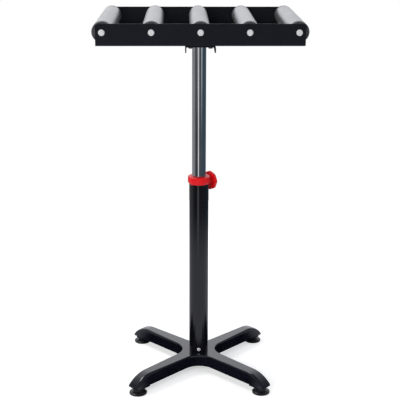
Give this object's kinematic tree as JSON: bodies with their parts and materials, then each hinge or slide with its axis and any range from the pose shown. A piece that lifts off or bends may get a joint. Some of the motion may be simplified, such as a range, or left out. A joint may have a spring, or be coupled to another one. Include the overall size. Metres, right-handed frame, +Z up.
{
  "type": "roller stand",
  "caption": "Free-standing work support: parallel free-turning rollers between two rails, on a height-adjustable column with a clamp knob and a four-legged base on levelling feet.",
  "frame": {"origin": "on the floor under the column's axis, which is also the centre of the overall box's bottom", "axes": "+Z up the column, X along the rails, Y along the rollers, with the column screw facing -Y and the clamp knob at 45 degrees between +X and +Y"},
  "size_m": [0.465, 0.3674, 0.8842],
  "materials": {
    "casting_paint": "glossy black paint on cast iron",
    "tube_paint": "glossy black paint",
    "rail_paint": "fine satin black powder coat",
    "bright_tube": "bright plated, lengthwise drawn",
    "roller_steel": "satin zinc plated",
    "cap_plastic": "moulded dark grey",
    "zinc_plate": "bright zinc plated",
    "bearing_steel": "ground steel",
    "red_plastic": "glossy moulded red",
    "bush_plastic": "moulded black",
    "foot_plastic": "moulded black"
  },
  "bodies": {
    "base": {"base_casting": "casting_paint", "lower_tube": "tube_paint", "column_screw": "zinc_plate", "clamp_collar": "red_plastic"},
    "foot_front_left": {"foot_front_left": "foot_plastic"},
    "foot_front_right": {"foot_front_right": "foot_plastic"},
    "foot_rear_left": {"foot_rear_left": "foot_plastic"},
    "foot_rear_right": {"foot_rear_right": "foot_plastic"},
    "clamp_stud": {"clamp_stud": "zinc_plate"},
    "clamp_knob": {"clamp_knob": "red_plastic"},
    "guide": {"slide_bush": "bush_plastic"},
    "mast": {"upper_tube": "bright_tube", "table_bracket": "rail_paint", "bracket_bolt_front_left": "zinc_plate", "bracket_bolt_front_right": "zinc_plate", "bracket_bolt_rear_left": "zinc_plate", "bracket_bolt_rear_right": "zinc_plate", "front_rail": "rail_paint", "rear_rail": "rail_paint", "roller_1_axle": "bearing_steel", "roller_1_screw_front": "zinc_plate", "roller_1_screw_rear": "zinc_plate", "roller_2_axle": "bearing_steel", "roller_2_screw_front": "zinc_plate", "roller_2_screw_rear": "zinc_plate", "roller_3_axle": "bearing_steel", "roller_3_screw_front": "zinc_plate", "roller_3_screw_rear": "zinc_plate", "roller_4_axle": "bearing_steel", "roller_4_screw_front": "zinc_plate", "roller_4_screw_rear": "zinc_plate", "roller_5_axle": "bearing_steel", "roller_5_screw_front": "zinc_plate", "roller_5_screw_rear": "zinc_plate"},
    "roller_1": {"roller_1_tube": "roller_steel", "roller_1_cap_front": "cap_plastic", "roller_1_cap_rear": "cap_plastic", "roller_1_bearing_front": "bearing_steel", "roller_1_bearing_rear": "bearing_steel"},
    "roller_2": {"roller_2_tube": "roller_steel", "roller_2_cap_front": "cap_plastic", "roller_2_cap_rear": "cap_plastic", "roller_2_bearing_front": "bearing_steel", "roller_2_bearing_rear": "bearing_steel"},
    "roller_3": {"roller_3_tube": "roller_steel", "roller_3_cap_front": "cap_plastic", "roller_3_cap_rear": "cap_plastic", "roller_3_bearing_front": "bearing_steel", "roller_3_bearing_rear": "bearing_steel"},
    "roller_4": {"roller_4_tube": "roller_steel", "roller_4_cap_front": "cap_plastic", "roller_4_cap_rear": "cap_plastic", "roller_4_bearing_front": "bearing_steel", "roller_4_bearing_rear": "bearing_steel"},
    "roller_5": {"roller_5_tube": "roller_steel", "roller_5_cap_front": "cap_plastic", "roller_5_cap_rear": "cap_plastic", "roller_5_bearing_front": "bearing_steel", "roller_5_bearing_rear": "bearing_steel"}
  },
  "joints": [
    {"name": "foot_front_left_height", "type": "slide", "parent": "base", "child": "foot_front_left", "axis": [0, 0, -1], "range_m": [0, 0.008]},
    {"name": "foot_front_right_height", "type": "slide", "parent": "base", "child": "foot_front_right", "axis": [0, 0, -1], "range_m": [0, 0.008]},
    {"name": "foot_rear_left_height", "type": "slide", "parent": "base", "child": "foot_rear_left", "axis": [0, 0, -1], "range_m": [0, 0.008]},
    {"name": "foot_rear_right_height", "type": "slide", "parent": "base", "child": "foot_rear_right", "axis": [0, 0, -1], "range_m": [0, 0.008]},
    {"name": "column_height", "type": "slide", "parent": "base", "child": "guide", "axis": [0, 0, 1], "range_m": [-0.3, 0.04]},
    {"name": "table_swivel", "type": "hinge", "parent": "guide", "child": "mast", "pos_m": [0, 0, 0.6], "axis": [0, 0, 1], "continuous": true},
    {"name": "clamp_stud_feed", "type": "slide", "parent": "base", "child": "clamp_stud", "axis": [0.7071, 0.7071, 0], "range_m": [0, 0.00226]},
    {"name": "clamp_knob_turn", "type": "hinge", "parent": "clamp_stud", "child": "clamp_knob", "pos_m": [0.02121, 0.02121, 0.4804], "axis": [0.7071, 0.7071, 0], "range_deg": [0, 540]},
    {"name": "roller_1_turn", "type": "hinge", "parent": "mast", "child": "roller_1", "pos_m": [-0.21, 0, 0.8617], "axis": [0, 1, 0], "continuous": true},
    {"name": "roller_2_turn", "type": "hinge", "parent": "mast", "child": "roller_2", "pos_m": [-0.105, 0, 0.8617], "axis": [0, 1, 0], "continuous": true},
    {"name": "roller_3_turn", "type": "hinge", "parent": "mast", "child": "roller_3", "pos_m": [0, 0, 0.8617], "axis": [0, 1, 0], "continuous": true},
    {"name": "roller_4_turn", "type": "hinge", "parent": "mast", "child": "roller_4", "pos_m": [0.105, 0, 0.8617], "axis": [0, 1, 0], "continuous": true},
    {"name": "roller_5_turn", "type": "hinge", "parent": "mast", "child": "roller_5", "pos_m": [0.21, 0, 0.8617], "axis": [0, 1, 0], "continuous": true}
  ],
  "couplings": [
    {"joint": "clamp_stud_feed", "follows": "clamp_knob_turn", "m_per_rad": 0.00023873}
  ]
}
